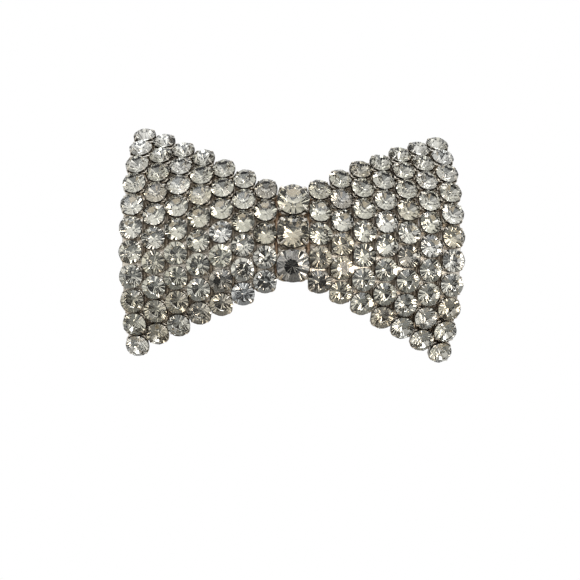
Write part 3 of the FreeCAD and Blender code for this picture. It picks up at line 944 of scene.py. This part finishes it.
chance = random.Random(56)
heap = Heap()
facing_back = Matrix.Rotation(math.radians(90), 4, "X")
chain_joint = Matrix.Translation((0, 0, -CHAIN_JOINT_DEPTH))
knot_joint = Matrix.Translation((0, 0, -KNOT_JOINT_DEPTH))
for side in (-1, 1):
    for rise in (-1, 1):
        for strip in range(1, STRIPS_PER_WING + 1):
            spot = strip_place(side, strip, rise * CROSS_WIRE_ARC) @ chain_joint
            solder_lump(heap, spot, CHAIN_JOINT, chance)
        for strip in range(1, STRIPS_PER_WING + 1, 2):
            end_arc = rise * arcs(STONES_BY_KNOT + strip - 1, CHAIN_PITCH)[-1]
            solder_lump(heap, strip_place(side, strip, end_arc) @ chain_joint, CHAIN_JOINT, chance)
        wire_spot = behind(strip_place(side, STAY_BY_STRIP, rise * CROSS_WIRE_ARC), WIRE_DEPTH)
        between_wires = Vector((side * STAY_X, STAY_Y - WIRE_RADIUS + SOLDER_LAP / 2, wire_spot.z))
        solder_lump(heap, Matrix.Translation(between_wires) @ facing_back, STAY_JOINT, chance)
    for edge in (-1, 1):
        spot = Vector((side * STAY_X, BAR_FRONT_Y - SOLDER_SINK, edge * BAR_EDGE))
        solder_lump(heap, Matrix.Translation(spot) @ facing_back, BAR_JOINT, chance)
for rise in (-1, 1):
    solder_lump(heap, knot_place(rise * EDGE_WIRE_KNOT_ARC) @ knot_joint, KNOT_JOINT, chance)
fixed_piece(heap, "solder_joints", [soft_solder], None)

# ---------------------------------------------------------------------------
# The bar: a strip of brass stamped with round ends, its edges left soft by
# tumbling, soldered across the two stays.
# ---------------------------------------------------------------------------
BAR_LENGTH = 38.0 * mm
BAR_WIDTH = 5.0 * mm
BAR_THICKNESS = BAR_BACK_Y - BAR_FRONT_Y
BAR_SOFT_EDGE = 0.14 * mm


def drawn_in(outline, amount):
    """An outline moved inwards by amount; it runs anticlockwise."""
    moved = []
    for k, (x, y) in enumerate(outline):
        x0, y0 = outline[k - 1]
        x1, y1 = outline[(k + 1) % len(outline)]
        before = Vector((x - x0, y - y0)).normalized()
        after = Vector((x1 - x, y1 - y)).normalized()
        inward = Vector((-before.y - after.y, before.x + after.x)).normalized()
        share = max(0.5, inward.dot(Vector((-after.y, after.x))))
        moved.append((x + inward.x * amount / share, y + inward.y * amount / share))
    return moved


def pressed_plate(heap, place, outline, thickness, soft, tone, depth=0.15):
    """A flat piece of one outline, from local z 0 up to its thickness, with softened edges."""
    rings = []
    for z, inset in (
        (0, soft), (soft * 0.3, soft * 0.3), (soft, 0),
        (thickness - soft, 0), (thickness - soft * 0.3, soft * 0.3), (thickness, soft),
    ):
        rings.append([(x, y, z) for x, y in drawn_in(outline, inset)])
    points, faces = rings_closed(rings)
    heap.add(place, points, faces, [depth] * len(points), tone)


def round_arc(x, y, radius, start, end, steps):
    turns = [math.radians(start + (end - start) * k / steps) for k in range(steps + 1)]
    return [(x + radius * math.cos(a), y + radius * math.sin(a)) for a in turns]


reach = (BAR_LENGTH - BAR_WIDTH) / 2
heap = Heap()
bar_outline = round_arc(reach, 0, BAR_WIDTH / 2, -90, 90, 20)
bar_outline += round_arc(-reach, 0, BAR_WIDTH / 2, 90, 270, 20)
bar_place = Matrix.Translation((0, BAR_BACK_Y, 0)) @ facing_back
pressed_plate(heap, bar_place, bar_outline, BAR_THICKNESS, BAR_SOFT_EDGE, 0.6)
fixed_piece(heap, "stamped_bar", [frame_plate], "pin_bar")

# ---------------------------------------------------------------------------
# The hinge: a bent bracket of two ears soldered to the bar, and a rivet that
# is headed over outside both ears.
# ---------------------------------------------------------------------------
HINGE_X = 17.0 * mm
RIVET_RADIUS = 0.5 * mm
RIVET_HEAD_RADIUS = 0.85 * mm
RIVET_HEAD_HEIGHT = 0.3 * mm
EAR_INSIDE = 0.65 * mm
EAR_THICKNESS = 0.6 * mm
EAR_RADIUS = 1.3 * mm
BRACKET_LENGTH = 4.0 * mm
BRACKET_WIDTH = 4.4 * mm
BRACKET_THICKNESS = 0.5 * mm
BRACKET_CORNER = 0.6 * mm
BRACKET_SOFT_EDGE = 0.12 * mm
EAR_SOFT_EDGE = 0.1 * mm

heap = Heap()
x_half, z_half = BRACKET_LENGTH / 2 - BRACKET_CORNER, BRACKET_WIDTH / 2 - BRACKET_CORNER
plate_outline = []
for x_side, z_side, start in ((1, 1, 0), (-1, 1, 90), (-1, -1, 180), (1, -1, 270)):
    plate_outline += round_arc(x_side * x_half, z_side * z_half, BRACKET_CORNER, start, start + 90, 6)
plate_back = BAR_BACK_Y + BRACKET_THICKNESS - SOLDER_SINK
plate_place = Matrix.Translation((HINGE_X, plate_back, 0)) @ facing_back
pressed_plate(heap, plate_place, plate_outline, BRACKET_THICKNESS, BRACKET_SOFT_EDGE, 0.5, 0.3)
ear_outline = [(-EAR_RADIUS, BAR_BACK_Y), (EAR_RADIUS, BAR_BACK_Y)] + round_arc(0, 0, EAR_RADIUS, 0, 180, 18)
for low in (EAR_INSIDE, -EAR_INSIDE - EAR_THICKNESS):
    pressed_plate(heap, Matrix.Translation((HINGE_X, 0, low)), ear_outline, EAR_THICKNESS, EAR_SOFT_EDGE, 0.6)
fixed_piece(heap, "hinge_ears", [frame_plate], "hinge_bracket")

ROUND_TURNS = [2 * math.pi * i / 24 for i in range(24)]


def turned(heap, place, profile, tone):
    """A round piece about local z; profile is (radius, z) from its low end to its high end."""
    rings = [[(radius * math.cos(a), radius * math.sin(a), z) for a in ROUND_TURNS] for radius, z in profile]
    points, faces = rings_closed(rings)
    heap.add(place, points, faces, [0.1] * len(points), tone)


heap = Heap()
reach = EAR_INSIDE + EAR_THICKNESS
head = [(0.25, 1.0), (0.55, 0.88), (0.85, 0.55), (1.0, 0.18), (0.96, 0.0)]  # shares of radius and height
top = [(RIVET_HEAD_RADIUS * r, reach + RIVET_HEAD_HEIGHT * h) for r, h in reversed(head)]
bottom = [(RIVET_HEAD_RADIUS * r, -reach - RIVET_HEAD_HEIGHT * h) for r, h in head]
shank = [(RIVET_RADIUS, -reach), (RIVET_RADIUS, reach)]
turned(heap, Matrix.Translation((HINGE_X, 0, 0)), bottom + shank + top, 0.7)
fixed_piece(heap, "rivet_headed", [frame_plate], "hinge_rivet", "brooch")

# ---------------------------------------------------------------------------
# The pin: hard steel wire, flattened to an eye and a heel at the hinge and
# ground to a long point at the other end.
# ---------------------------------------------------------------------------
STEM_RADIUS = 0.45 * mm
STEM_TAPER_X = -12.0 * mm
STEM_TIP_X = -18.7 * mm
STEM_TIP_RADIUS = 0.08 * mm
EYE_RADIUS = 1.25 * mm
EYE_HALF_THICKNESS = 0.6 * mm
NECK_REACH = 1.6 * mm
HEEL_ANGLE = 45  # degrees
HEEL_REACH = 1.69 * mm
HEEL_HALF_WIDTH = 0.45 * mm
HEEL_SOFT_EDGE = 0.08 * mm
EYE_EDGE = ((0.2, 0.0), (0.06, 0.06), (0.0, 0.2))  # in from the rim and from the face, in mm

steel = plate_finish(
    "pin_steel", (0.74, 0.75, 0.76), (0.60, 0.59, 0.58), (0.14, 0.12, 0.10), rough=0.16, scratch=0.15)

heap = Heap()
hinge_place = Matrix.Translation((HINGE_X, 0, 0))
eye = [(EYE_RADIUS - rim * mm, -EYE_HALF_THICKNESS + face * mm) for rim, face in EYE_EDGE]
eye += [(EYE_RADIUS - rim * mm, EYE_HALF_THICKNESS - face * mm) for rim, face in reversed(EYE_EDGE)]
turned(heap, hinge_place, eye, 0.6)
heel_outline = [
    (0, -HEEL_HALF_WIDTH), (HEEL_REACH, -HEEL_HALF_WIDTH),
    (HEEL_REACH, HEEL_HALF_WIDTH), (0, HEEL_HALF_WIDTH),
]
heel_place = hinge_place @ Matrix.Rotation(math.radians(HEEL_ANGLE), 4, "Z")
heel_place = heel_place @ Matrix.Translation((0, 0, -EYE_HALF_THICKNESS))
pressed_plate(heap, heel_place, heel_outline, 2 * EYE_HALF_THICKNESS, HEEL_SOFT_EDGE, 0.6)
stem_place = hinge_place @ Matrix.Rotation(math.radians(-90), 4, "Y")
taper_start, tip = HINGE_X - STEM_TAPER_X, HINGE_X - STEM_TIP_X
stem_sections = (
    # from the hinge, half thickness, roundness: square at the eye, then round wire, then the point
    (0.6 * mm, EYE_HALF_THICKNESS, 0.35),
    (NECK_REACH - 0.3 * mm, EYE_HALF_THICKNESS, 0.4),
    (NECK_REACH, EYE_HALF_THICKNESS * 0.97, 0.5),
    (NECK_REACH + 0.6 * mm, STEM_RADIUS * 1.1, 0.85),
    (NECK_REACH + 1.1 * mm, STEM_RADIUS, 1.0),
    (taper_start, STEM_RADIUS, 1.0),
    (taper_start + 2.0 * mm, STEM_RADIUS * 0.86, 1.0),
    (tip - 0.4 * mm, STEM_TIP_RADIUS * 1.5, 1.0),
    (tip - 0.06 * mm, STEM_TIP_RADIUS, 1.0),
    (tip, STEM_TIP_RADIUS * 0.4, 1.0),
)
points, faces = rings_closed([
    [(x * reach, y * reach, from_hinge) for x, y in squared_round(roundness, roundness, ROUND_TURNS)]
    for from_hinge, reach, roundness in stem_sections
])
heap.add(stem_place, points, faces, [0.1] * len(points), 0.6)
fixed_piece(heap, "steel_pin", [steel], "pin_stem", "pin")

# ---------------------------------------------------------------------------
# The catch: a ring on a foot that stays open towards the cloth, and a slotted
# barrel with a thumb lever that turns inside it and shuts it.
# ---------------------------------------------------------------------------
CATCH_X = -15.5 * mm
HOOK_WIDTH = 1.6 * mm
HOOK_BORE_RADIUS = 1.4 * mm
HOOK_RADIUS = 2.05 * mm
HOOK_MOUTH = 1.3 * mm
HOOK_FOOT_WIDTH = 3.2 * mm
COLLAR_BORE_RADIUS = 0.75 * mm
COLLAR_RADIUS = 1.35 * mm
COLLAR_FLANGE_RADIUS = 1.85 * mm
COLLAR_FLANGE_THICKNESS = 0.5 * mm
COLLAR_SIDE_GAP = 0.08 * mm
COLLAR_SLOT = 1.2 * mm
LEVER_REACH = 3.4 * mm
LEVER_WIDTH = 1.1 * mm
LEVER_ANGLE = 75  # degrees
LEVER_ROOT = 1.0 * mm
HOOK_SOFT_EDGE = 0.12 * mm
BARREL_SOFT_EDGE = 0.06 * mm
FLANGE_SOFT_EDGE = 0.08 * mm

# local x runs towards the cloth, local y up and local z along the pin
catch_turn = Matrix(((0, 0, 1), (1, 0, 0), (0, 1, 0))).to_4x4()


def catch_place(x):
    return Matrix.Translation((x, 0, 0)) @ catch_turn


def slotted_ring(outer, bore, slot):
    """Outline of a ring that is open towards local x."""
    outer_edge = math.degrees(math.asin(slot / 2 / outer))
    bore_edge = math.degrees(math.asin(slot / 2 / bore))
    outside = round_arc(0, 0, outer, outer_edge, 360 - outer_edge, 32)
    return outside + round_arc(0, 0, bore, 360 - bore_edge, bore_edge, 24)


heap = Heap()
mouth_edge = math.degrees(math.asin(HOOK_MOUTH / 2 / HOOK_RADIUS))
foot_edge = 180 - math.degrees(math.asin(HOOK_FOOT_WIDTH / 2 / HOOK_RADIUS))
bore_edge = math.degrees(math.asin(HOOK_MOUTH / 2 / HOOK_BORE_RADIUS))
foot_y = BAR_BACK_Y - SOLDER_SINK
hook_outline = round_arc(0, 0, HOOK_RADIUS, mouth_edge, foot_edge, 16)
hook_outline += [(foot_y, HOOK_FOOT_WIDTH / 2), (foot_y, -HOOK_FOOT_WIDTH / 2)]
hook_outline += round_arc(0, 0, HOOK_RADIUS, 360 - foot_edge, 360 - mouth_edge, 16)
hook_outline += round_arc(0, 0, HOOK_BORE_RADIUS, 360 - bore_edge, bore_edge, 24)
pressed_plate(heap, catch_place(CATCH_X - HOOK_WIDTH / 2), hook_outline, HOOK_WIDTH, HOOK_SOFT_EDGE, 0.6)
fixed_piece(heap, "catch_ring", [frame_plate], "catch_hook")

heap = Heap()
outer_end = HOOK_WIDTH / 2 + COLLAR_SIDE_GAP + COLLAR_FLANGE_THICKNESS
barrel = slotted_ring(COLLAR_RADIUS, COLLAR_BORE_RADIUS, COLLAR_SLOT)
flange = slotted_ring(COLLAR_FLANGE_RADIUS, COLLAR_BORE_RADIUS, COLLAR_SLOT)
pressed_plate(heap, catch_place(CATCH_X - outer_end), barrel, 2 * outer_end, BARREL_SOFT_EDGE, 0.6)
for low in (-outer_end, outer_end - COLLAR_FLANGE_THICKNESS):
    pressed_plate(heap, catch_place(CATCH_X + low), flange, COLLAR_FLANGE_THICKNESS, FLANGE_SOFT_EDGE, 0.7)
lever_end = LEVER_REACH - LEVER_WIDTH / 2
lever_outline = [(LEVER_ROOT, -LEVER_WIDTH / 2), (lever_end, -LEVER_WIDTH / 2)]
lever_outline += round_arc(lever_end, 0, LEVER_WIDTH / 2, -90, 90, 10)[1:-1]
lever_outline += [(lever_end, LEVER_WIDTH / 2), (LEVER_ROOT, LEVER_WIDTH / 2)]
lever_place = catch_place(CATCH_X - outer_end) @ Matrix.Rotation(math.radians(-LEVER_ANGLE), 4, "Z")
pressed_plate(heap, lever_place, lever_outline, COLLAR_FLANGE_THICKNESS, FLANGE_SOFT_EDGE, 0.8)
fixed_piece(heap, "turning_collar", [frame_plate], "safety_collar", "collar")
